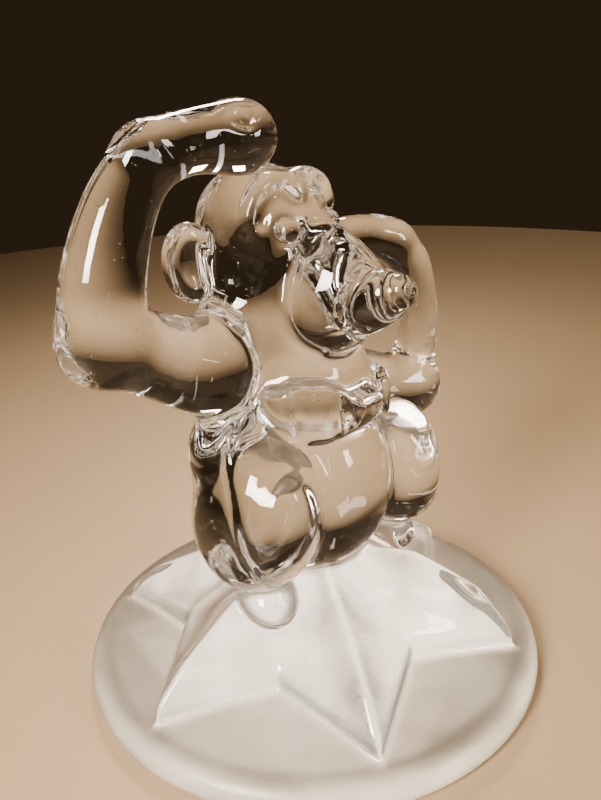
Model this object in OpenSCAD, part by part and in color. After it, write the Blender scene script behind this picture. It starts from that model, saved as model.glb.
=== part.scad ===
// A pressed crystal figurine: a chimpanzee in a bow tie squats on a clear six-pointed star,
// one hand on top of its head and the other at its ear. The star stands on a frosted round base.
// The chimpanzee faces -Y, +Z is up, and the origin is the centre of the base's resting face.

/* [Base and star] */
// diameter of the frosted base
base_d = 76; // [70:1:90]
// height of the base's top at its rim
base_h = 4.6; // [3.5:0.1:6]
// how much higher the base's top is in the middle, under the star
dome_h = 5.4; // [3:0.2:6]
// distance from the axis to a star tip
star_r = 33.4; // [30:0.2:34]
// distance from the axis to the notch between two arms
notch_r = 21.2; // [20:0.2:24]
// height of the star's top edge at a notch
notch_z = 11.4; // [9:0.2:13]
// height of the star's top edge at a tip
tip_z = 7.2; // [6.5:0.1:9]
// height of the mound that the figure squats on
mound_z = 21.5; // [20:0.5:23]

/* [Body] */
// half width of the belly
belly_r = 14; // [13:0.1:15]
// height of the belly's middle
belly_z = 33; // [32:0.2:34]
// half width of the chest
chest_r = 12.5; // [12:0.1:13]
// height of the chest's middle
chest_z = 46; // [45.5:0.1:46.5]
// how far each haunch stands out from the middle
haunch_x = 13.5; // [13:0.1:14]
// how much higher the ridge of the front left arm is than the others
ridge_lift = 4; // [0:0.5:5]

/* [Head] */
// half width of the skull
skull_r = 10.8; // [10.4:0.1:11.2]
// height of the skull's middle
skull_z = 69.5; // [69:0.1:70]
// radius of each eye bead
eye_r = 1.5; // [1:0.05:1.6]
// how far each ear stands out from the middle
ear_x = 12.6; // [12:0.1:13]

/* [Finish] */
// facets round a body blob
blob_fn = 26; // [24:2:36]
// facets round a limb
limb_fn = 16; // [14:2:22]

/* [Hidden] */
arms_of_star = 6;
arm_step = 360 / arms_of_star;
base_r = base_d / 2;
dome_r = base_r - 4;
dome_rings = 7;
bevel = 3;
post_r = 0.7;
skull_y = 7.5;
eye_x = 4.3;
right = -1;
left = 1;

// joints of the raised right arm: shoulder, elbow, wrist, fingers
right_shoulder = [-15, 5, 54.9];
right_elbow = [-30.6, 6, 63];
right_mid = [-29.2, 6, 71.4];
right_bend = [-25.8, 6, 79.2];
right_wrist = [-21.4, 5.2, 85.3];
right_palm = [-14, 5, 86.2];
right_fingers = [-6.6, 4, 86];
// joints of the left arm: shoulder, elbow, wrist, fingers at the ear
left_shoulder = [14, 2.5, 44.5];
left_elbow = [24.4, -1, 41.4];
left_mid = [26.8, -1, 51.3];
left_bend = [26.4, 0, 60.8];
left_wrist = [23.8, 2, 66];
left_fingers = [16, 6, 67.2];

frosted = [0.93, 0.92, 0.90];
clear_star = [0.84, 0.87, 0.90];
clear_body = [0.80, 0.84, 0.88];
clear_limb = [0.86, 0.89, 0.92];
clear_face = [0.88, 0.90, 0.93];

// one rounded blob: centre, half sizes, turn
module blob(centre, half, turn = [0, 0, 0], facets = blob_fn) {
    hull() translate(centre) rotate(turn) scale(half) sphere(r = 1, $fn = facets);
}

// a point on a smooth curve through four successive places
function curve_at(a, b, c, d, t) =
    0.5 * (2 * b + (c - a) * t + (2 * a - 5 * b + 4 * c - d) * t * t + (3 * b - 3 * c + d - a) * t * t * t);

// the curve through a whole list of places [x, y, z, radius], in n steps a span
function smooth_path(p, n) = [
    for (i = [0 : len(p) - 2])
        for (k = [0 : n - (i < len(p) - 2 ? 1 : 0)])
            curve_at(p[max(i - 1, 0)], p[i], p[i + 1], p[min(i + 2, len(p) - 1)], k / n)
];

// a limb of pulled glass through the places, each with its own radius
module limb(places, steps = 3, facets = limb_fn) {
    path = smooth_path(places, steps);
    for (i = [0 : len(path) - 2])
        hull()
            for (q = [path[i], path[i + 1]])
                translate([q[0], q[1], q[2]]) sphere(r = q[3], $fn = facets);
}

function at(place, radius) = [place[0], place[1], place[2], radius];

// a thin post that stands on the base at a distance and a direction, up to a height
module post(r, turn, top, radius = post_r) {
    rotate(turn) translate([r, 0, 2]) {
        cylinder(r = radius, h = top - 2 - radius, $fn = 12);
        translate([0, 0, top - 2 - radius]) sphere(r = radius, $fn = 12);
    }
}

// the two low notches on either side of an arm; each hull has its own post width, so none coincide
module notches(width) {
    post(notch_r, arm_step / 2, notch_z, width);
    post(notch_r, -arm_step / 2, notch_z - 0.03, width + 0.03);
}

// one arm of the star: three ridges that climb from the tip to the mound
module star_arm(lift) {
    mid_z = 12 + lift;
    inner_z = 16.4 + lift;
    hull() {
        post(star_r, 0, tip_z);
        notches(0.5);
        post(27.6, 0, mid_z, 1.2);
    }
    hull() {
        post(27.5, 0, mid_z + 0.05, 1.25);
        notches(0.56);
        post(20, 0, inner_z, 1.8);
    }
    hull() {
        post(19.9, 0, inner_z + 0.05, 1.85);
        notches(0.62);
        post(9, 0, mound_z, 3);
    }
}

module star_solid() {
    for (i = [0 : arms_of_star - 1])
        rotate(i * arm_step) star_arm(i == arms_of_star - 1 ? ridge_lift : 0);
    cylinder(r = 10, h = mound_z - 2, $fn = 36);
}

module base_solid() {
    rotate_extrude($fn = 180)
        polygon([
            [0, 0],
            for (a = [-90 : 15 : 0]) [base_r - 1 + cos(a), 1 + sin(a)],
            for (a = [0 : 15 : 90]) [base_r - bevel + bevel * cos(a), base_h - 2.2 + 1.6 * sin(a)],
            for (i = [0 : dome_rings])
                let (r = dome_r * (1 - i / dome_rings)) [r, base_h + dome_h * (1 - pow(r / dome_r, 2))]
        ]);
}

module belly_solid() {
    blob([0, 0, belly_z], [belly_r, belly_r - 0.5, belly_r + 1]);
}
module chest_solid() {
    blob([0, 0.6, chest_z], [chest_r, chest_r - 1, 9.2]);
}
// the neck, with the right shoulder muscle drawn up by the raised arm
module neck_solid() {
    hull() {
        translate([0, 0.5, 51]) sphere(r = 9.4, $fn = blob_fn);
        translate([0, 2.5, 60]) sphere(r = 9.4, $fn = blob_fn);
    }
    hull() {
        translate([-9.4, 5.6, 58.4]) sphere(r = 5.6, $fn = blob_fn);
        translate([0, 3, 56]) sphere(r = 8, $fn = blob_fn);
    }
}
// the skull: a narrow dome on broad jowls
module skull_solid() {
    hull() {
        translate([0, skull_y + 1.5, skull_z + 3.4]) scale([9.2, 8.6, 8.4]) sphere(r = 1, $fn = blob_fn);
        translate([0, skull_y - 1, skull_z - 2.6]) scale([skull_r, 9.4, 8.8]) sphere(r = 1, $fn = blob_fn);
    }
}
module muzzle_solid() {
    blob([0, -6, 63.5], [7.5, 7.5, 8.5], [15, 0, 0]);
}
module lips_solid() {
    hull() {
        translate([0, -12.5, 64.5]) sphere(r = 4.7, $fn = blob_fn);
        translate([0, -16, 66]) sphere(r = 3.6, $fn = blob_fn);
    }
}
module button_solid() {
    blob([0, -19.1, 67], [1.7, 1.6, 1.9], [0, 0, 0], 18);
}
module bridge_solid() {
    limb([[0, -0.2, 71.6, 4.6], [0, -5.6, 69, 4.9], [0, -11, 66.2, 4.2]], 2);
}
module brow_solid() {
    for (s = [right, left])
        limb([[s * 7.4, 1.4, 74.4, 1.1], [s * 5.9, 1.2, 77.2, 1.3], [s * 2.6, 1.4, 78.6, 1.4],
            [0, 0.6, 76.8, 1.3]], 2, 12);
}
module eye_solid(s) {
    translate([s * eye_x, -2.05, 73.6]) sphere(r = eye_r, $fn = 32);
}

// an ear: a dished oval that faces forwards and stands out from the skull
module ear_solid(s, z) {
    difference() {
        blob([s * ear_x, skull_y + 1.8, z], [4.4, 2.3, 6], [0, s * 8, s * 12], 24);
        blob([s * (ear_x + 0.9), skull_y - 0.5, z], [2.4, 1.9, 3.6], [0, s * 8, s * 12], 18);
    }
}

module knot_solid() {
    blob([0.6, -10.9, 48], [2.8, 2.1, 2.8], [20, 0, 5], 18);
}
// a bow-tie wing: narrow at the knot, tall at its outer end, bent round the chest;
// the left one is lower and shorter
module wing_solid(s) {
    drop = s == left ? 1.4 : 0;
    squash = s == left ? 0.75 : 1;
    for (q = [[3.2, -10.4, 6.6, -9.2, 2.2, 3.4], [6.6, -9.2, 11.6, -4.6, 3.4, 4.1]])
        hull()
            for (up = [-1, 1]) {
                inner_rise = up * (q[4] * squash - 1.4);
                outer_rise = up * (q[5] * squash - 1.4);
                blob([s * q[0] + 0.8, q[1], 47.6 - drop / 2 + inner_rise], [1.3, 1.5, 1.4], [0, 0, 0], 14);
                blob([s * q[2] + 0.8, q[3], 48 - drop + outer_rise], [1.5, 1.5, 1.4], [0, 0, 0], 14);
            }
}

module haunch_solid(s) {
    if (s == right)
        blob([-haunch_x, -2.5, 33], [9, 10.5, 13.5], [20, 0, 0]);
    else
        hull() {
            blob([haunch_x + 1.4, -4, 32], [8.2, 8.6, 10], [20, 0, 0]);
            blob([haunch_x + 2.7, -5.5, 25.8], [6.2, 6.4, 5]);
        }
}
// the shin and knee over the front of a haunch; the left one is lower and shorter
module knee_solid(s) {
    knee_z = s == right ? 32.6 : 29.6;
    knee_half = s == right ? 10.5 : 8.5;
    blob([s * (haunch_x + 1.6), -7.4, knee_z], [5.8, 5.8, knee_half], [24, 0, 0]);
}
module foot_solid(s) {
    blob([s * 13.9, -4, 19.4], [4.4, 6, 4], [20, 0, s * 20], 20);
}

module right_upper_arm_solid() {
    limb([at(right_shoulder, 7), [-22.8, 5.8, 58.8, 5.9], at(right_elbow, 5.6)]);
}
module right_forearm_solid() {
    limb([at(right_elbow, 6), at(right_mid, 5.4), at(right_bend, 4.7), at(right_wrist, 4.1)]);
}
module right_hand_solid() {
    limb([at(right_wrist, 4.3), at(right_palm, 4.2), at(right_fingers, 5.1)], 4);
}
module left_upper_arm_solid() {
    limb([at(left_shoulder, 5.4), [19.4, 0.6, 42.4, 5.2], at(left_elbow, 5.5)]);
}
module left_forearm_solid() {
    limb([at(left_elbow, 4), at(left_mid, 3.3), at(left_bend, 3.3), at(left_wrist, 3.3)]);
}
module left_hand_solid() {
    limb([at(left_wrist, 3.5), [20.6, 3.6, 67.2, 3.5], at(left_fingers, 3.6)], 4);
}

module small_face_parts() {
    for (s = [right, left]) eye_solid(s);
    brow_solid();
}

module frosted_base() { color(frosted) base_solid(); }
module star_plinth() {
    color(clear_star) difference() { star_solid(); base_solid(); }
}
module belly() {
    color(clear_body) difference() {
        belly_solid();
        star_solid();
        for (s = [right, left]) wing_solid(s);
        knot_solid();
    }
}
module chest() {
    color(clear_body) difference() {
        chest_solid();
        belly_solid();
        right_upper_arm_solid();
        left_upper_arm_solid();
        for (s = [right, left]) wing_solid(s);
        knot_solid();
    }
}
module neck() {
    color(clear_body) difference() {
        neck_solid();
        chest_solid();
        belly_solid();
        skull_solid();
        muzzle_solid();
        right_upper_arm_solid();
        for (s = [right, left]) wing_solid(s);
        knot_solid();
    }
}
module skull() {
    color(clear_face) difference() {
        skull_solid();
        muzzle_solid();
        bridge_solid();
        small_face_parts();
        ear_solid(right, 69);
        ear_solid(left, 71);
        right_hand_solid();
        left_hand_solid();
        right_upper_arm_solid();
    }
}
module muzzle() {
    color(clear_face) difference() {
        muzzle_solid();
        lips_solid();
        bridge_solid();
    }
}
module nose_bridge() {
    color(clear_face) difference() {
        bridge_solid();
        lips_solid();
        small_face_parts();
    }
}
module brow() {
    color(clear_face) difference() {
        brow_solid();
        for (s = [right, left]) eye_solid(s);
    }
}
module pursed_lips() {
    color(clear_face) difference() {
        lips_solid();
        button_solid();
    }
}
module lip_button() { color(clear_limb) button_solid(); }
module right_eye() { color(clear_limb) eye_solid(right); }
module left_eye() { color(clear_limb) eye_solid(left); }
module right_ear() {
    color(clear_limb) difference() {
        ear_solid(right, 69);
        right_upper_arm_solid();
    }
}
module left_ear() {
    color(clear_limb) difference() {
        ear_solid(left, 71);
        left_hand_solid();
    }
}
module bow_tie_knot() { color(clear_limb) knot_solid(); }
module bow_tie_right_wing() {
    color(clear_limb) difference() {
        wing_solid(right);
        knot_solid();
    }
}
module bow_tie_left_wing() {
    color(clear_limb) difference() {
        wing_solid(left);
        knot_solid();
    }
}
module right_haunch() {
    color(clear_limb) difference() {
        haunch_solid(right);
        belly_solid();
        chest_solid();
        star_solid();
        knee_solid(right);
        foot_solid(right);
        right_upper_arm_solid();
    }
}
module left_haunch() {
    color(clear_limb) difference() {
        haunch_solid(left);
        belly_solid();
        chest_solid();
        star_solid();
        knee_solid(left);
        foot_solid(left);
        left_upper_arm_solid();
    }
}
module right_knee() {
    color(clear_limb) difference() {
        knee_solid(right);
        belly_solid();
        star_solid();
        foot_solid(right);
    }
}
module left_knee() {
    color(clear_limb) difference() {
        knee_solid(left);
        belly_solid();
        star_solid();
        foot_solid(left);
    }
}
module right_foot() {
    color(clear_limb) difference() {
        foot_solid(right);
        belly_solid();
        star_solid();
    }
}
module left_foot() {
    color(clear_limb) difference() {
        foot_solid(left);
        belly_solid();
        star_solid();
    }
}
module right_upper_arm() {
    color(clear_limb) difference() {
        right_upper_arm_solid();
        belly_solid();
        right_forearm_solid();
    }
}
module right_forearm() {
    color(clear_limb) difference() {
        right_forearm_solid();
        right_hand_solid();
    }
}
module right_hand() { color(clear_limb) right_hand_solid(); }
module left_upper_arm() {
    color(clear_limb) difference() {
        left_upper_arm_solid();
        belly_solid();
        star_solid();
    }
}
module left_forearm() {
    color(clear_limb) difference() {
        left_forearm_solid();
        left_hand_solid();
        left_upper_arm_solid();
    }
}
module left_hand() { color(clear_limb) left_hand_solid(); }

frosted_base();
star_plinth();
belly();
chest();
neck();
skull();
muzzle();
nose_bridge();
brow();
pursed_lips();
lip_button();
right_eye();
left_eye();
right_ear();
left_ear();
bow_tie_knot();
bow_tie_right_wing();
bow_tie_left_wing();
right_haunch();
left_haunch();
right_knee();
left_knee();
right_foot();
left_foot();
right_upper_arm();
right_forearm();
right_hand();
left_upper_arm();
left_forearm();
left_hand();
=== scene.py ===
import math

import bpy
import numpy as np
from mathutils import Matrix, Vector


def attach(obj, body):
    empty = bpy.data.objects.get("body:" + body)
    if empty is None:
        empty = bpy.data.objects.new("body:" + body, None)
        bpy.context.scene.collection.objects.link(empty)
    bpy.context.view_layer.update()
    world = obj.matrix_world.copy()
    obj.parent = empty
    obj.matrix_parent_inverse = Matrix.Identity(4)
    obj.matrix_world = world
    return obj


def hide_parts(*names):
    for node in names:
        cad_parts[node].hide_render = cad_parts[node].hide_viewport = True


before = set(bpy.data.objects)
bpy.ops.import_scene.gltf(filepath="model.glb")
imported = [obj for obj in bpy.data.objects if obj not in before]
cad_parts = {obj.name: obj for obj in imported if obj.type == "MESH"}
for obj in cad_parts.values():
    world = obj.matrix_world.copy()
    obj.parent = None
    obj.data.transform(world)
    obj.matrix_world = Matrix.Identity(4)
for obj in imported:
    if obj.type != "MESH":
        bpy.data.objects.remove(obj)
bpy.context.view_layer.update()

# ---------------------------------------------------------------- frosted base
# The round foot is of the same crystal as the figure, with a soft rim and a low domed top,
# and its skin is acid-satined. It is the first form pressed into the mould that holds the
# whole casting. Sizes are millimetres.
BASE_RADIUS = 38.0
BASE_HEIGHT = 4.6
BASE_DOME = 5.4
BASE_RIM = 4.0
BASE_SHOULDER = 4.2
BASE_HEEL = 1.2
AIR = 1.4
REACH = BASE_RADIUS + AIR
UNTOUCHED = 6
UNCLAIMED = 1000
SKIRT = 2.5


def ticks(*runs):
    """Places of the mould's layers along one axis: runs of (from, to, spacing)."""
    parts = [np.arange(a, b - 1e-6, (b - a) / round((b - a) / step)) for a, b, step in runs]
    last = runs[-1][1]
    return np.concatenate(parts + [[last]]).astype(np.float32)


def soft_min(a, b, reach):
    """The lesser of two distances, with a fillet where they are nearly equal."""
    h = np.maximum(reach - np.abs(a - b), 0) / reach
    return np.minimum(a, b) - h * h * (reach / 4)


def soft_max(a, b, reach):
    return -soft_min(-a, -b, reach)


class Mould:
    """The casting as a field of distances: below zero is glass, and every place has an owner."""

    def __init__(self, x, y, z):
        self.axes = (x, y, z)
        size = tuple(len(t) for t in self.axes)
        self.skin = np.full(size, UNTOUCHED, np.float32)
        self.claim = np.full(size, UNCLAIMED, np.float32)
        self.owner = np.zeros(size, np.int8)
        self.pieces = []

    def window(self, low, high, margin):
        """The part of the mould round a box, and its places along X, Y and Z."""
        cut = tuple(slice(int(np.searchsorted(t, a - margin)), int(np.searchsorted(t, b + margin)))
                    for t, a, b in zip(self.axes, low, high))
        x, y, z = (t[c] for t, c in zip(self.axes, cut))
        return cut, x[:, None, None], y[None, :, None], z[None, None, :]

    def press(self, piece, form, blend=1.0, rank=0):
        """Adds a form to the casting. Where two pieces overlap, the higher rank keeps the glass."""
        if piece not in self.pieces:
            self.pieces.append(piece)
        cut, x, y, z = self.window(*form.box(), margin=blend + SKIRT)
        d = form.distance(x, y, z).astype(np.float32)
        self.skin[cut] = soft_min(self.skin[cut], d, blend)
        key = np.where(d < 0, np.float32(-rank), d)
        wins = key < self.claim[cut]
        self.claim[cut] = np.where(wins, key, self.claim[cut])
        self.owner[cut] = np.where(wins, self.pieces.index(piece) + 1, self.owner[cut])

    def carve(self, form, blend=0.6):
        """Cuts a form out of the casting."""
        cut, x, y, z = self.window(*form.box(), margin=blend + SKIRT)
        d = form.distance(x, y, z).astype(np.float32)
        self.skin[cut] = soft_max(self.skin[cut], -d, blend)

    def between(self, fields, places):
        """Values of several fields of the mould at places in between its layers."""
        index, part = [], []
        for i, t in enumerate(self.axes):
            at = np.interp(places[:, i], t, np.arange(len(t)))
            low = np.clip(at.astype(int), 0, len(t) - 2)
            index.append(low)
            part.append(at - low)
        out = [0] * len(fields)
        for corner in range(8):
            bits = corner & 1, corner >> 1 & 1, corner >> 2 & 1
            weight = np.prod([part[i] if bits[i] else 1 - part[i] for i in range(3)], axis=0)
            at = tuple(index[i] + bits[i] for i in range(3))
            for n, f in enumerate(fields):
                out[n] = out[n] + weight * f[at]
        return out

    def settle(self, places):
        """The places, each moved straight onto the casting's skin."""
        probe, turns, least_slope = 0.4, 6, 0.1
        p = np.array(places, float)
        for _ in range(turns):
            f = self.between([self.skin], p)[0]
            g = np.stack([self.between([self.skin], p + step)[0]
                          - self.between([self.skin], p - step)[0]
                          for step in np.eye(3) * probe], 1) / (2 * probe)
            p -= f[:, None] * g / np.maximum((g * g).sum(1), least_slope)[:, None]
        return p


class Disc:
    """A turned foot: a domed top inside a flat rim, a broad soft shoulder and a small bottom edge."""

    def box(self):
        return (-BASE_RADIUS, -BASE_RADIUS, 0), (BASE_RADIUS, BASE_RADIUS, BASE_HEIGHT + BASE_DOME)

    def distance(self, x, y, z):
        r = np.sqrt(x * x + y * y)
        rise = BASE_DOME * np.maximum(1 - (r / (BASE_RADIUS - BASE_RIM)) ** 2, 0)
        side = soft_max(r - BASE_RADIUS, z - BASE_HEIGHT - rise, BASE_SHOULDER)
        return soft_max(side, -z + 0 * r, BASE_HEEL)


mould = Mould(ticks((-REACH, -17, 0.5), (-17, 17, 0.4), (17, REACH, 0.5)),
              ticks((-REACH, -22, 0.5), (-22, 18, 0.4), (18, REACH, 0.5)),
              ticks((-0.9, 24, 0.44), (24, 56, 0.5), (56, 81, 0.36), (81, 92.6, 0.46)))
mould.press("frosted_base", Disc(), rank=100)

# ---------------------------------------------------------------- star plinth
# A six-armed star of polished crystal stands on the foot. Each arm has upright walls
# and a ridge that climbs from its tip to the mound under the figure; the arm on the
# figure's front left has a higher ridge than the others.
STAR_TIP = 33.9
STAR_NOTCH = 21.4
TIP_TOP = 7.2
NOTCH_TOP = 11.4
MOUND_TOP = 21.0
HIGH_ARM = 5
HIGH_RIDGE, LOW_RIDGE = 3.6, 0.4
RIDGE_SOFT, RIDGE_ROUND = 0.35, 0.59
TOP_SLOPE = 0.8
TOP_ROUND = 1.3
UNDERSIDE, UNDERSIDE_ROUND = 1.5, 0.5
DISH = 1.1


class Star:
    """Six arms round the axis. In an arm, u runs along it, v across it from its middle."""

    def box(self):
        return (-STAR_TIP, -STAR_TIP, 0), (STAR_TIP, STAR_TIP, MOUND_TOP + 3)

    def distance(self, x, y, z):
        r = np.sqrt(x * x + y * y)
        angle = np.degrees(np.arctan2(y, x))
        arm = np.floor((angle + 30) / 60) % 6
        away = np.radians((angle + 30) % 60 - 30)
        u, v = r * np.cos(away), np.abs(r * np.sin(away))
        notch_u, notch_v = STAR_NOTCH * math.cos(math.pi / 6), STAR_NOTCH * math.sin(math.pi / 6)
        across = (notch_v, STAR_TIP - notch_u)
        wall = ((u - STAR_TIP) * across[0] + v * across[1]) / math.hypot(*across)
        lift = np.where(arm == HIGH_ARM, HIGH_RIDGE, LOW_RIDGE)
        lift = lift * np.clip((u - 9) / 8, 0, 1) * np.clip((STAR_TIP - u) / 6, 0, 1)
        ridge = np.interp(u, [0, 8, 13, 20, 27.6, STAR_TIP],
                          [MOUND_TOP, MOUND_TOP - 0.2, 19.3, 16.0, 12.0, TIP_TOP]) + lift
        edge = np.interp(u, [0, 6, 10, notch_u, STAR_TIP], [MOUND_TOP, 19.5, 17.2, NOTCH_TOP, TIP_TOP])
        outer_width = (STAR_TIP - u) * notch_v / (STAR_TIP - notch_u)
        width = np.where(u > notch_u, outer_width, u * math.tan(math.pi / 6))
        off = (np.sqrt(v * v + RIDGE_SOFT) - RIDGE_ROUND) / np.maximum(width, 1.2)
        dip = DISH * np.sin(np.clip(off, 0, 1) * math.pi) * np.clip((STAR_TIP - u) / 9, 0, 1)
        top = ridge + (edge - ridge) * np.clip(off, 0, 1.2) - dip
        body = soft_max(wall + 0 * z, (z - top) * TOP_SLOPE, TOP_ROUND)
        return soft_max(body, UNDERSIDE - z + 0 * r, UNDERSIDE_ROUND)


class Blob:
    """A rounded lump: centre, half sizes, turns about X, Y and Z in degrees."""

    def __init__(self, centre, half, turn=(0, 0, 0)):
        self.centre, self.half = np.array(centre, float), np.array(half, float)
        spin = Matrix.Identity(3)
        for angle, axis in zip(turn, "XYZ"):
            spin = Matrix.Rotation(math.radians(angle), 3, axis) @ spin
        self.spin = np.array(spin)

    def box(self):
        reach = np.sqrt(((self.spin * self.half) ** 2).sum(1))
        return self.centre - reach, self.centre + reach

    def distance(self, x, y, z):
        p = (x - self.centre[0], y - self.centre[1], z - self.centre[2])
        near = far = 0
        for i in range(3):
            q = sum(np.float32(self.spin[k, i]) * p[k] for k in range(3)) / self.half[i]
            near = near + q * q
            far = far + (q / self.half[i]) ** 2
        near, far = np.sqrt(near), np.sqrt(far)
        return near * (near - 1) / np.maximum(far, 1e-4)


mould.press("star_plinth", Star(), blend=1.0, rank=90)
mould.press("star_plinth", Blob((0, 0, 14), (13.5, 13.5, 7.6)), blend=3.0, rank=90)

# ---------------------------------------------------------------- belly, chest and neck
# The trunk is three swelling lumps of solid crystal, blown full and smooth. A soft
# crease parts the belly from the chest, and the shoulders run up into the short neck.


class Limb:
    """A pulled rod of glass along a smooth line through places (x, y, z, radius)."""

    def __init__(self, *places, steps=9):
        p = np.array(places, float)
        line = []
        for i in range(len(p) - 1):
            a, b, c, d = p[max(i - 1, 0)], p[i], p[i + 1], p[min(i + 2, len(p) - 1)]
            for t in np.arange(steps) / steps:
                line.append(0.5 * (2 * b + (c - a) * t + (2 * a - 5 * b + 4 * c - d) * t * t
                                   + (3 * b - 3 * c + d - a) * t ** 3))
        self.line = np.array(line + [p[-1]])

    def box(self):
        places, radii = self.line[:, :3], self.line[:, 3:]
        return (places - radii).min(0), (places + radii).max(0)

    def distance(self, x, y, z):
        weld = 0.25
        best = None
        for a, b in zip(self.line[:-1], self.line[1:]):
            along = b[:3] - a[:3]
            px, py, pz = x - a[0], y - a[1], z - a[2]
            t = (px * along[0] + py * along[1] + pz * along[2]) / max(along @ along, 1e-9)
            t = np.clip(t, 0, 1)
            d = np.sqrt((px - along[0] * t) ** 2 + (py - along[1] * t) ** 2 + (pz - along[2] * t) ** 2)
            d = d - (a[3] + (b[3] - a[3]) * t)
            best = d if best is None else soft_min(best, d, weld)
        return best


mould.press("belly", Blob((0, 0, 33), (14, 13.5, 15)), blend=2.2, rank=80)
mould.press("chest", Blob((0, 0.6, 46), (12.5, 11.5, 9.2)), blend=1.3, rank=70)
mould.press("neck", Limb((0, 0.5, 51, 9.4), (0, 2.5, 60, 9.4)), blend=4.0, rank=62)
mould.press("neck", Limb((-9.4, 5.6, 58.4, 5.6), (0, 3, 56, 8)), blend=4.0, rank=62)

# ---------------------------------------------------------------- haunches, knees and feet
# The squatting legs are folded against the belly: an egg-shaped haunch, the shin and
# knee laid over its front, and a small foot below on the star. The right haunch is fuller.
LEG_TURN = (20, 0, 0)
SHIN_TURN = (24, 0, 0)
mould.press("right_haunch", Blob((-13.2, 1.5, 41.5), (6.6, 8, 8)), blend=3.0, rank=60)
mould.press("right_haunch", Blob((-13.5, -2.5, 33), (9, 10.5, 13.5), LEG_TURN), blend=2.4, rank=60)
mould.press("left_haunch", Blob((14.9, -4, 32), (8.2, 8.6, 10), LEG_TURN), blend=1.6, rank=60)
mould.press("left_haunch", Blob((16.2, -5.5, 25.8), (6.2, 6.4, 5)), blend=3.5, rank=60)
mould.press("right_knee", Blob((-15.1, -7.4, 32.6), (5.8, 5.8, 10.5), SHIN_TURN), blend=1.0, rank=76)
mould.press("left_knee", Blob((15.1, -7.4, 29.6), (5.8, 5.8, 8.5), SHIN_TURN), blend=1.0, rank=76)
for foot, side in (("right_foot", -1), ("left_foot", 1)):
    sole = Blob((side * 13.9, -4, 19.4), (4.4, 6, 4), (20, 0, side * 20))
    mould.press(foot, sole, blend=1.2, rank=78)

# ---------------------------------------------------------------- skull and ears
# The head is a narrow dome on broad jowls, part of the same pour. The round ears are
# pressed discs that face forwards, dished inside a raised rim.
mould.press("skull", Blob((0, 9, 72.9), (9.2, 8.6, 8.4)), blend=2.2, rank=64)
mould.press("skull", Blob((0, 6.5, 66.9), (10.8, 9.4, 8.8)), blend=3.5, rank=64)
mould.press("skull", Blob((0, 3.6, 74.2), (8.4, 5.2, 6.0)), blend=3.0, rank=64)
for ear, side, height in (("right_ear", -1, 69), ("left_ear", 1, 71)):
    turn = (0, side * 8, side * 12)
    mould.press(ear, Blob((side * 12.6, 9.3, height), (4.4, 2.3, 6), turn), blend=0.9, rank=65)
    mould.carve(Blob((side * 13.3, 6.9, height), (2.5, 1.9, 3.8), turn), blend=0.5)

# ---------------------------------------------------------------- muzzle, nose and pursed lips
# The long muzzle bulges from the jowls behind a deep pressed crease. A straight nose
# bridge runs down its top, and the lips are pursed to a blunt spout with a ring at the end.
mould.press("muzzle", Blob((0, -6, 63.5), (7.5, 7.5, 8.5), (15, 0, 0)), blend=0.9, rank=66)
bridge = Limb((0, -0.2, 71.6, 4.6), (0, -5.6, 69, 4.9), (0, -11, 66.2, 4.2))
mould.press("nose_bridge", bridge, blend=2.0, rank=66.5)
mould.press("pursed_lips", Limb((0, -12.5, 64.5, 4.7), (0, -16, 66, 3.6)), blend=0.8, rank=67)
LIP_TURN = (-20, 0, 0)
mould.carve(Blob((0, -19.5, 67.3), (3.1, 0.8, 3.2), LIP_TURN), blend=0.4)
mould.press("lip_button", Blob((0, -19.0, 67.1), (2.2, 1.6, 2.4), LIP_TURN), blend=0.15, rank=67.5)
mould.carve(Blob((0, -20.9, 67.6), (0.9, 1.0, 1.1)), blend=0.3)
JOWL_CREASE = ((5.4, -3.6, 70.6), (6.3, -3.1, 67.9), (7.1, -3.4, 65.7), (7.7, -3.7, 63.3),
               (7.5, -4.7, 60.6), (6.6, -6.1, 58.4), (5.0, -7.9, 57.0))
LIP_CREASE = ((0.2, -14.4, 69.8, 0.5), (1.8, -14.3, 69.3, 0.6), (3.3, -13.8, 68.1, 0.7),
              (4.4, -13.0, 66.2, 0.8), (4.6, -12.7, 64.2, 0.8), (4.1, -13.2, 62.3, 0.7),
              (2.8, -14.9, 61.4, 0.6))
for side in (-1, 1):
    mould.carve(Limb(*[(side * x, y, z, 1.0) for x, y, z in JOWL_CREASE], steps=4), blend=0.8)
    mould.carve(Limb(*[(side * x, y, z, r) for x, y, z, r in LIP_CREASE], steps=4), blend=0.5)

# ---------------------------------------------------------------- brow and eyes
# An arched socket is pressed under each brow, and below it a round bead of an eye sits
# proud in a fine ring. The two brows meet in a dip at the top of the nose.
BROW = ((7.5, 1.5, 75.4, 1.1), (6.1, 1.3, 78.2, 1.3), (2.8, 1.6, 79.6, 1.3), (0, 0.8, 77.6, 1.2))
SOCKET = ((6.8, 0.6, 74.8, 0.8), (6.3, -0.1, 76.8, 1.1), (4.8, -0.6, 78.0, 1.2),
          (2.9, -0.9, 78.3, 1.1), (1.4, -1.6, 77.0, 0.9))
EYE_RADIUS = 1.5
EYE_RING = 1.9
for eye, side in (("right_eye", -1), ("left_eye", 1)):
    arch = [(side * x, y, z, r) for x, y, z, r in BROW]
    mould.press("brow", Limb(*arch, steps=6), blend=2.4, rank=68)
    mould.carve(Limb(*[(side * x, y, z, r) for x, y, z, r in SOCKET], steps=4), blend=1.5)
    mould.carve(Blob((side * 4.4, -2.3, 73.6), (EYE_RING,) * 3), blend=0.9)
    mould.press(eye, Blob((side * 4.3, -2.05, 73.6), (EYE_RADIUS,) * 3), blend=0.1, rank=69)

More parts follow.
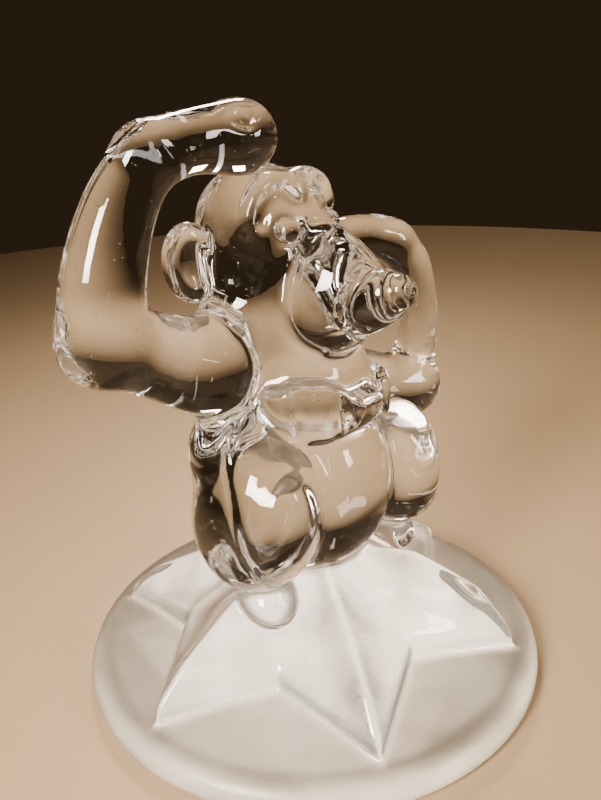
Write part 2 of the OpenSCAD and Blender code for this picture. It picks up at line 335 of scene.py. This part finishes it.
# ---------------------------------------------------------------- bow tie
# The tie stands proud of the chest: a squared knot a little off the middle, and two
# wings with rounded ends and soft pleats. The left wing lies lower and is shorter.
KNOT_X = 0.8
WING_ENDS = (2.0, 12.4)
WING_THICK = 1.7


class Wing:
    """One wing of the tie, narrow at the knot and tall outside, bent round the chest."""

    def __init__(self, side):
        self.side = side
        self.front = [-10.6, -9.0, -5.6, -3.2] if side > 0 else [-10.6, -9.0, -6.2, -4.2]
        self.middle = [47.6, 47.8, 47.2, 46.4] if side > 0 else [47.8, 48.7, 49.0, 48.7]
        self.tallness = 0.75 if side > 0 else 1

    def box(self):
        ends = self.side * 1.5 + KNOT_X, self.side * 14 + KNOT_X
        return (min(ends), -13.4, 42), (max(ends), -2, 55)

    def distance(self, x, y, z):
        out = (x - KNOT_X) * self.side
        place = [2.4, 6.6, 10.2, 12.4]
        slope = np.interp(out, place, [0.2, 0.45, 0.85, 0.95])
        depth = (y - np.interp(out, place, self.front)) * np.sqrt(1 / (1 + slope ** 2))
        middle = np.interp(out, [2, 5, 9, 12.5], self.middle)
        half = np.interp(out, [2.0, 4.2, 6.5, 10.5, 12.5], [2.3, 3.6, 4.5, 4.4, 3.6]) * self.tallness
        pleat = -0.8 * np.exp(-((out - 4.9) / 0.6) ** 2) - 0.8 * np.exp(-((out - 10.1) / 0.7) ** 2)
        plate = np.abs(depth) - WING_THICK - pleat
        tall = np.abs(z - middle) - half
        long = np.maximum(WING_ENDS[0] - out, out - WING_ENDS[1])
        return soft_max(soft_max(plate, tall + 0 * y, 1.2), long + 0 * y + 0 * z, 1.6)


mould.press("bow_tie_right_wing", Wing(-1), blend=1.1, rank=86)
mould.press("bow_tie_left_wing", Wing(1), blend=1.1, rank=86)


class Knot:
    """The squared knot, leaning back with the chest."""

    half = (2.9, 2.1, 2.7)

    def box(self):
        return (-3, -14, 44.4), (4, -8, 51.6)

    def distance(self, x, y, z):
        lean = math.radians(20)
        dx, dy, dz = x - 0.6, y + 10.9, z - 48.1
        py = dy * math.cos(lean) + dz * math.sin(lean)
        pz = dz * math.cos(lean) - dy * math.sin(lean)
        a, b, c = self.half
        square = (np.abs(dx / a) ** 6 + np.abs(py / b) ** 4 + np.abs(pz / c) ** 6) ** (1 / 6)
        return (square - 1) * b


mould.press("bow_tie_knot", Knot(), blend=0.4, rank=88)

# ---------------------------------------------------------------- raised right arm
# A thick rod of crystal, drawn out from the shoulder, folded sharply at the elbow and
# laid over so that the hand rests on top of the head. A cuff line is nicked at the wrist.
upper = Limb((-15, 5, 54.9, 7), (-22.8, 5.8, 58.8, 5.9), (-30.6, 6, 63, 5.6))
fore = Limb((-30.6, 6, 63, 6), (-29.2, 6, 71.4, 5.4), (-25.8, 6, 79.2, 4.7), (-21.4, 5.2, 85.3, 4.1))
hand = Limb((-21.4, 5.2, 85.3, 4.3), (-14, 5, 86.2, 4.2), (-6.6, 4, 86, 5.1))
cuff_line = Limb((-22.9, 1.2, 88.9, 0.5), (-21.6, 0.7, 87.2, 0.5), (-20.2, 0.4, 85.0, 0.5))
mould.press("right_upper_arm", upper, blend=2.6, rank=71.5)
mould.press("right_forearm", fore, blend=2.0, rank=74)
mould.press("right_hand", hand, blend=1.4, rank=75)
mould.carve(cuff_line, blend=0.6)
mould.carve(Blob((-9.2, 0.2, 88.6), (1.9, 1.3, 1.0), (0, 20, 0)), blend=1.0)

# ---------------------------------------------------------------- left arm
# The other arm is slimmer: a short upper arm held to the side, a bent forearm that
# rises clear of the body, and a hand that curls over to the ear.
upper = Limb((14, 2.5, 44.5, 5.4), (19.4, 0.6, 42.4, 5.2), (24.4, -1, 41.4, 5.5))
fore = Limb((24.4, -1, 41.4, 4), (26.8, -1, 51.3, 3.3), (26.4, 0, 60.8, 3.3), (23.8, 2, 66, 3.3))
hand = Limb((23.8, 2, 66, 3.5), (20.6, 3.6, 67.2, 3.5), (16, 6, 67.2, 3.6))
mould.press("left_upper_arm", upper, blend=2.0, rank=72)
mould.press("left_forearm", fore, blend=1.6, rank=71)
mould.press("left_hand", hand, blend=1.2, rank=73)

# ---------------------------------------------------------------- mould seam
# A hair-fine seam is left down the right haunch, where two parts of the mould met. Its
# line is settled onto the casting's skin and pressed there as a very thin rod.
SEAM_RADIUS = 0.28
seam_line = mould.settle([(-15.0, -1.0, 47.0), (-17.6, -2.4, 45.2), (-19.3, -3.7, 43.0),
                          (-20.9, -5.9, 39.8), (-21.6, -7.1, 35.8), (-21.4, -8.0, 32.0),
                          (-19.1, -9.1, 26.7), (-16.6, -9.0, 22.6)])
seam_rod = Limb(*[(*p, SEAM_RADIUS) for p in seam_line], steps=6)
mould.press("right_haunch", seam_rod, blend=0.5, rank=59)

# ---------------------------------------------------------------- crystal and satin finishes
# The crystal is clear, colourless and fire-polished, with a faint roll left by the mould.
# The foot's skin is satined to a warm white. Where two pieces meet inside the pour there
# is no surface at all, so the closing faces there are a bond that light passes straight through.


class Flow:
    """A socket that takes part in arithmetic: each operation adds its Math node."""

    def __init__(self, tree, socket):
        self.tree, self.socket = tree, socket

    def _do(self, operation, *values):
        return self.tree.node("ShaderNodeMath", {"operation": operation}, *values)

    def __add__(self, other): return self._do("ADD", self, other)
    def __radd__(self, other): return self._do("ADD", other, self)
    def __sub__(self, other): return self._do("SUBTRACT", self, other)
    def __rsub__(self, other): return self._do("SUBTRACT", other, self)
    def __mul__(self, other): return self._do("MULTIPLY", self, other)
    def __rmul__(self, other): return self._do("MULTIPLY", other, self)


class Finish:
    """A node material under construction. Names of inputs are given with _ for a space."""

    def __init__(self, name):
        self.material = bpy.data.materials.new(name)
        self.material.use_nodes = True
        self.tree = self.material.node_tree
        self.tree.nodes.clear()

    def node(self, kind, settings, *values, out=0, **named):
        n = self.tree.nodes.new(kind)
        for key, value in settings.items():
            if key == "stops":
                ramp = n.color_ramp.elements
                while len(ramp) < len(value):
                    ramp.new(0.5)
                for stop, (place, colour) in zip(ramp, value):
                    stop.position, stop.color = place, colour
            else:
                setattr(n, key, value)
        wanted = list(enumerate(values)) + [(k.replace("_", " "), v) for k, v in named.items()]
        for key, value in wanted:
            socket = n.inputs[key]
            if isinstance(value, Flow):
                self.tree.links.new(value.socket, socket)
            else:
                socket.default_value = value
        return Flow(self, n.outputs[out] if len(n.outputs) else None)

    def close(self, shader):
        self.node("ShaderNodeOutputMaterial", {}, Surface=shader)
        return self.material


def glass_finish(name, colours, roughness, ior, transmission, shade, relief):
    """Glass with a cloudy tint, a faint roll and a fine grain; light passes it tinted by shade."""
    f = Finish(name)
    where = f.node("ShaderNodeTexCoord", {}, out=3)
    cloud = f.node("ShaderNodeTexNoise", {}, Vector=where, Scale=relief["cloud"], Detail=4.0,
                   Roughness=0.55)
    skin = f.node("ShaderNodeValToRGB", {"stops": [(0.35, colours[0]), (0.7, colours[1])]}, cloud)
    smear = f.node("ShaderNodeMapRange", {}, cloud, 0.35, 0.75, *roughness)
    roll = f.node("ShaderNodeTexNoise", {}, Vector=where, Scale=relief["roll"], Detail=2.0,
                  Roughness=0.4)
    grain = f.node("ShaderNodeTexNoise", {}, Vector=where, Scale=relief["grain"], Detail=3.0,
                   Roughness=0.6)
    height = roll * relief["roll_depth"] + grain * relief["grain_depth"]
    dent = f.node("ShaderNodeBump", {}, Strength=1.0, Distance=1.0, Height=height)
    body = f.node("ShaderNodeBsdfPrincipled", {}, Base_Color=skin, Roughness=smear, IOR=ior,
                  Transmission_Weight=transmission, Normal=dent)
    through = f.node("ShaderNodeBsdfTransparent", {}, shade)
    shadow_ray = f.node("ShaderNodeLightPath", {}, out=1)
    return f.close(f.node("ShaderNodeMixShader", {}, shadow_ray, body, through))


CLEAR = glass_finish(
    "clear_crystal", colours=((0.985, 0.99, 0.985, 1), (0.965, 0.975, 0.97, 1)),
    roughness=(0.0, 0.012), ior=1.53, transmission=1.0, shade=(0.84, 0.83, 0.81, 1),
    relief={"cloud": 70, "roll": 130, "grain": 1500, "roll_depth": 0.00012, "grain_depth": 0.0000025})
SATIN = glass_finish(
    "frosted_crystal", colours=((0.66, 0.62, 0.565, 1), (0.56, 0.525, 0.475, 1)),
    roughness=(0.28, 0.44), ior=1.5, transmission=0.9, shade=(0.5, 0.49, 0.47, 1),
    relief={"cloud": 60, "roll": 150, "grain": 2600, "roll_depth": 0.0001, "grain_depth": 0.00003})
BOND = Finish("poured_joint")
BOND = BOND.close(BOND.node("ShaderNodeBsdfTransparent", {}, (1, 1, 1, 1)))

# ---------------------------------------------------------------- the pour
# The filled mould is taken apart into its pieces. Every piece is a closed solid whose
# outer faces lie on the casting's skin; inside, it meets its neighbours on shared faces.
MM = 0.001
SEAM_TURNS = 8
SMOOTH_TURNS = 4
SMOOTH_SHARE = 0.5
SEAM_SHARE = 0.6
LONGEST_STEP = 0.3
LEAST_SLOPE = 0.05


def blurred(field):
    """The field after one soft pass along each axis."""
    for axis in range(3):
        f = np.moveaxis(field, axis, 0)
        f[1:-1] = (f[:-2] + 2 * f[1:-1] + f[2:]) / 4
    return field


skin = blurred(mould.skin)
labels = np.where(skin < 0, mould.owner, 0).astype(np.int8)
slopes = np.gradient(skin, *[t.astype(float) for t in mould.axes])

# Wherever two neighbouring places of the mould have different owners, a four-sided face
# goes between them. Its corners are the middles of the mould's cells, which are moved to
# the casting's skin afterwards.
quads, sides, crossings = [], [], []
cells = tuple(n - 1 for n in skin.shape)
step = np.eye(3, dtype=int)
for axis in range(3):
    one, two = (axis + 1) % 3, (axis + 2) % 3
    a, b = np.moveaxis(labels, axis, 0)[:-1], np.moveaxis(labels, axis, 0)[1:]
    where = np.argwhere(np.moveaxis(a != b, 0, axis))
    first, second = tuple(where.T), tuple((where + step[axis]).T)
    la, lb = labels[first], labels[second]
    fa, fb = skin[first], skin[second]
    t = np.where((la == 0) != (lb == 0), fa / np.where(fa == fb, 1, fa - fb), 0.5)
    spot = np.stack([mould.axes[i][where[:, i]] for i in range(3)], 1).astype(float)
    gap = mould.axes[axis][where[:, axis] + 1] - mould.axes[axis][where[:, axis]]
    spot[:, axis] += t * gap
    ring = [where - step[one] - step[two], where - step[two], where, where - step[one]]
    quads.append(np.stack([np.ravel_multi_index(tuple(r.T), cells) for r in ring], 1))
    sides.append(np.stack([la, lb], 1))
    crossings.append(spot)
quads, sides, crossings = (np.concatenate(v) for v in (quads, sides, crossings))
used, quads = np.unique(quads, return_inverse=True)
quads = quads.reshape(-1, 4)
outer = (sides == 0).any(1)


def gathered(faces, values):
    """For every point, the sum of the values of the faces round it, and their number."""
    total = [np.bincount(faces.ravel(), np.repeat(values[:, i], 4), len(used)) for i in range(3)]
    return np.stack(total, 1), np.bincount(faces.ravel(), minlength=len(used))


outside_sum, outside_count = gathered(quads[outer], crossings[outer])
inside_sum, inside_count = gathered(quads[~outer], crossings[~outer])
on_skin = outside_count > 0
points = np.where(on_skin[:, None], outside_sum / np.maximum(outside_count, 1)[:, None],
                  inside_sum / np.maximum(inside_count, 1)[:, None])
joint_edges = np.concatenate([quads[~outer][:, [i, (i + 1) % 4]] for i in range(4)])
joint_edges = np.unique(np.sort(joint_edges[on_skin[joint_edges].all(1)], axis=1), axis=0)
seam = np.unique(joint_edges)
links = np.bincount(joint_edges.ravel(), minlength=len(used))[seam, None]
for turn in range(SEAM_TURNS):
    total, count = gathered(quads, points[quads].mean(1))
    along = np.zeros_like(points)
    for axis in range(3):
        for here, there in ((0, 1), (1, 0)):
            along[:, axis] += np.bincount(joint_edges[:, here], points[joint_edges[:, there], axis],
                                          len(used))
    rest = points[seam]
    if turn < SMOOTH_TURNS:
        points += SMOOTH_SHARE * (total / np.maximum(count, 1)[:, None] - points)
    points[seam] = (1 - SEAM_SHARE) * rest + SEAM_SHARE * (along[seam] / links)
    for _ in range(2):
        f, gx, gy, gz = mould.between([skin, *slopes], points[on_skin])
        g = np.stack([gx, gy, gz], 1)
        move = f[:, None] * g / np.maximum((g * g).sum(1), LEAST_SLOPE)[:, None]
        points[on_skin] -= np.clip(move, -LONGEST_STEP, LONGEST_STEP)
normals = np.zeros_like(points)
normals[on_skin] = np.stack(mould.between(slopes, points[on_skin]), 1)
normals /= np.maximum(np.linalg.norm(normals, axis=1), 1e-9)[:, None]


def solid(name, points, blocks, finishes):
    """A mesh object from points in millimetres and blocks of (faces, finish numbers, normals).

    The joint faces are flat, so that no smooth shading runs over the edge of the skin."""
    mesh = bpy.data.meshes.new(name)
    mesh.vertices.add(len(points))
    mesh.vertices.foreach_set("co", (points * MM).astype(np.float32).ravel())
    sizes = np.concatenate([np.full(len(faces), faces.shape[1]) for faces, kinds, corner in blocks])
    corners = np.concatenate([faces.ravel() for faces, kinds, corner in blocks])
    numbers = np.concatenate([kinds for faces, kinds, corner in blocks])
    mesh.loops.add(int(sizes.sum()))
    mesh.loops.foreach_set("vertex_index", corners.astype(np.int32))
    mesh.polygons.add(len(sizes))
    mesh.polygons.foreach_set("loop_start", (np.cumsum(sizes) - sizes).astype(np.int32))
    mesh.polygons.foreach_set("material_index", numbers.astype(np.int32))
    mesh.polygons.foreach_set("use_smooth", numbers == 0)
    for finish in finishes:
        mesh.materials.append(finish)
    mesh.update(calc_edges=True)
    mesh.normals_split_custom_set(np.concatenate([b[2] for b in blocks]).astype(np.float32))
    made = bpy.data.objects.new(name, mesh)
    bpy.context.scene.collection.objects.link(made)
    return made


# ---------------------------------------------------------------- air seeds
# Fine seeds of air are caught in the clear crystal, a millimetre or more under its skin.
# A node tree scatters them over the figure and pushes them inwards. Each becomes a round
# hole in the piece that holds it, so its faces look into the air.
SEED_SETTINGS = {"Seeds per square metre": 28000.0, "Shallowest": -0.0010, "Deepest": -0.0042,
                 "Smallest": 0.00004, "Largest": 0.00013, "Seed": 11}
SIZE_SEED = 7
LEAST_COVER = 0.5
BALL_POINTS, BALL_FACES = 42, 80


def seed_tree(finish):
    """Round balls scattered under the skin of whatever mesh the tree is given."""
    tree = bpy.data.node_groups.new("air_seeds", "GeometryNodeTree")
    tree.interface.new_socket("Geometry", in_out="INPUT", socket_type="NodeSocketGeometry")
    for label in SEED_SETTINGS:
        kind = "NodeSocketInt" if label == "Seed" else "NodeSocketFloat"
        tree.interface.new_socket(label, in_out="INPUT", socket_type=kind)
    tree.interface.new_socket("Geometry", in_out="OUTPUT", socket_type="NodeSocketGeometry")
    add, join = tree.nodes.new, tree.links.new
    given, result = add("NodeGroupInput"), add("NodeGroupOutput")
    scatter = add("GeometryNodeDistributePointsOnFaces")
    join(given.outputs["Geometry"], scatter.inputs["Mesh"])
    join(given.outputs["Seeds per square metre"], scatter.inputs["Density"])
    join(given.outputs["Seed"], scatter.inputs["Seed"])
    depth = add("FunctionNodeRandomValue")
    depth.data_type = "FLOAT"
    join(given.outputs["Shallowest"], depth.inputs[2])
    join(given.outputs["Deepest"], depth.inputs[3])
    join(given.outputs["Seed"], depth.inputs["Seed"])
    inward = add("ShaderNodeVectorMath")
    inward.operation = "SCALE"
    join(scatter.outputs["Normal"], inward.inputs[0])
    join(depth.outputs[1], inward.inputs["Scale"])
    place = add("GeometryNodeSetPosition")
    join(scatter.outputs["Points"], place.inputs["Geometry"])
    join(inward.outputs[0], place.inputs["Offset"])
    ball = add("GeometryNodeMeshIcoSphere")
    ball.inputs["Radius"].default_value = 1.0
    ball.inputs["Subdivisions"].default_value = 2
    size = add("FunctionNodeRandomValue")
    size.data_type = "FLOAT"
    join(given.outputs["Smallest"], size.inputs[2])
    join(given.outputs["Largest"], size.inputs[3])
    size.inputs["Seed"].default_value = SIZE_SEED
    put = add("GeometryNodeInstanceOnPoints")
    join(place.outputs[0], put.inputs["Points"])
    join(ball.outputs["Mesh"], put.inputs["Instance"])
    join(size.outputs[1], put.inputs["Scale"])
    real = add("GeometryNodeRealizeInstances")
    join(put.outputs[0], real.inputs[0])
    coat = add("GeometryNodeSetMaterial")
    coat.inputs["Material"].default_value = finish
    join(real.outputs[0], coat.inputs["Geometry"])
    join(coat.outputs[0], result.inputs[0])
    return tree


clear_skin = outer & (sides != mould.pieces.index("frosted_base") + 1).all(1)
shell_faces = np.where((sides[:, 1] == 0)[:, None], quads, quads[:, ::-1])[clear_skin]
kept, shell_faces = np.unique(shell_faces, return_inverse=True)
shell_faces = shell_faces.reshape(-1, 4)
shell_kinds = np.zeros(len(shell_faces))
shell_block = (shell_faces, shell_kinds, normals[kept][shell_faces.ravel()])
shell = solid("seed_shell", points[kept], [shell_block], [CLEAR])
modifier = shell.modifiers.new("air_seeds", "NODES")
modifier.node_group = seed_tree(CLEAR)
for item in modifier.node_group.interface.items_tree:
    if item.item_type == "SOCKET" and item.in_out == "INPUT" and item.name in SEED_SETTINGS:
        modifier[item.identifier] = SEED_SETTINGS[item.name]
graph = bpy.context.evaluated_depsgraph_get()
seeds = bpy.data.meshes.new_from_object(shell.evaluated_get(graph))
bpy.data.objects.remove(shell)
seed_points = np.zeros(len(seeds.vertices) * 3)
seeds.vertices.foreach_get("co", seed_points)
seed_points = (seed_points / MM).reshape(-1, BALL_POINTS, 3)
seed_faces = np.zeros(len(seeds.loops), np.int64)
seeds.loops.foreach_get("vertex_index", seed_faces)
seed_faces = seed_faces.reshape(-1, BALL_FACES, 3)[0] % BALL_POINTS
seed_middles = seed_points.mean(1)
seed_depth = mould.between([skin], seed_middles)[0]
nearest = tuple(np.clip(np.searchsorted(t, seed_middles[:, i]), 0, len(t) - 1)
                for i, t in enumerate(mould.axes))
seed_owner = np.where(seed_depth < -LEAST_COVER, labels[nearest], 0)

# ---------------------------------------------------------------- the thirty pieces
# The casting is handed over piece by piece: its part of the skin, the bond faces where it
# meets its neighbours, and the air seeds that it holds.
for number, piece in enumerate(mould.pieces, 1):
    satined = piece == "frosted_base"
    mine, theirs = sides[:, 0] == number, sides[:, 1] == number
    faces = np.concatenate([quads[mine], quads[theirs][:, ::-1]])
    kinds = np.concatenate([~outer[mine], ~outer[theirs]]).astype(int)
    kept, faces = np.unique(faces, return_inverse=True)
    faces = faces.reshape(-1, 4)
    corner = normals[kept][faces.ravel()] * np.repeat(kinds == 0, 4)[:, None]
    blocks = [(faces, kinds, corner)]
    body = [points[kept]]
    held = np.flatnonzero(seed_owner == number)
    if len(held) and not satined:
        start = len(kept) + BALL_POINTS * np.arange(len(held))[:, None, None]
        holes = (seed_faces[None, :, ::-1] + start).reshape(-1, 3)
        towards = seed_middles[held][:, None] - seed_points[held]
        towards /= np.linalg.norm(towards, axis=2, keepdims=True)
        corner = towards[:, seed_faces[:, ::-1]].reshape(-1, 3)
        blocks.append((holes, np.zeros(len(holes)), corner))
        body.append(seed_points[held].reshape(-1, 3))
    made = solid("glass_" + piece, np.concatenate(body), blocks, [SATIN if satined else CLEAR, BOND])
    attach(made, "root")
    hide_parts(piece)

# ---------------------------------------------------------------- floor, light and camera
# A plain pale table in a dark plain surround. A small warm light behind the figure throws its
# shadow forwards; a large soft light at the left and a strip in front draw the crystal's edges.


def plain(name, colour, rough):
    f = Finish(name)
    where = f.node("ShaderNodeTexCoord", {}, out=3)
    cloud = f.node("ShaderNodeTexNoise", {}, Vector=where, Scale=9.0, Detail=2.0)
    darker = tuple(c * 0.96 for c in colour[:3]) + (1,)
    tone = f.node("ShaderNodeValToRGB", {"stops": [(0.3, colour), (0.7, darker)]}, cloud)
    return f.close(f.node("ShaderNodeBsdfPrincipled", {}, Base_Color=tone, Roughness=rough))


FLOOR_RADIUS = 0.32
FLOOR_DROP = 0.0003
bpy.ops.mesh.primitive_circle_add(vertices=128, radius=FLOOR_RADIUS, fill_type="NGON",
                                  location=(0, 0, -FLOOR_DROP))
floor = bpy.context.object
floor.name = "pale_floor"
floor.data.materials.append(plain("pale_table", (0.60, 0.43, 0.27, 1), 0.5))

world = bpy.data.worlds.new("surround")
world.use_nodes = True
backdrop = world.node_tree.nodes["Background"]
backdrop.inputs["Color"].default_value = (0.052, 0.034, 0.020, 1)
backdrop.inputs["Strength"].default_value = 1.0
bpy.context.scene.world = world

BEAM = 60


def soft_light(name, place, aim, size, power, colour):
    """A rectangular soft box with its beam held to BEAM degrees."""
    data = bpy.data.lights.new(name, "AREA")
    data.shape, data.size, data.size_y = "RECTANGLE", size[0], size[1]
    data.energy, data.color, data.spread = power, colour, math.radians(BEAM)
    lamp = bpy.data.objects.new(name, data)
    lamp.location = place
    lamp.rotation_euler = (Vector(aim) - Vector(place)).to_track_quat("-Z", "Y").to_euler()
    bpy.context.scene.collection.objects.link(lamp)


soft_light("back_key", place=(0.216, 0.25, 0.305), aim=(0, 0, 0.03), size=(0.09, 0.09),
           power=0.15, colour=(1.0, 0.88, 0.74))
soft_light("left_softbox", place=(-0.38, -0.06, 0.26), aim=(0, 0, 0.04), size=(0.12, 0.20),
           power=0.80, colour=(1.0, 0.92, 0.82))
soft_light("front_softbox", place=(0.16, -0.46, 0.26), aim=(0, 0, 0.05), size=(0.08, 0.20),
           power=0.16, colour=(1.0, 0.95, 0.9))

camera = bpy.data.cameras.new("camera")
camera.lens, camera.sensor_width = 40.5, 36
camera.clip_start = 0.01
stand = bpy.data.objects.new("camera", camera)
place = Vector((-0.0899, -0.0899, 0.1021))
look = Vector((0.644, 0.651, -0.403)).normalized()
across = Vector((0.699, -0.714, -0.035))
across = (across - look * across.dot(look)).normalized()
upward = across.cross(look)
turned = Matrix((across, upward, -look)).transposed().to_4x4()
stand.matrix_world = Matrix.Translation(place) @ turned
bpy.context.scene.collection.objects.link(stand)
bpy.context.scene.camera = stand
bpy.context.scene.view_settings.look = "AgX - Medium High Contrast"
bpy.context.scene.view_settings.exposure = -0.6

# Light crosses many skins and bonds on its way through the figure, so its path may be long.
cycles = bpy.context.scene.cycles
cycles.transparent_max_bounces = 512
cycles.max_bounces = cycles.glossy_bounces = cycles.transmission_bounces = 64
cycles.caustics_refractive = False
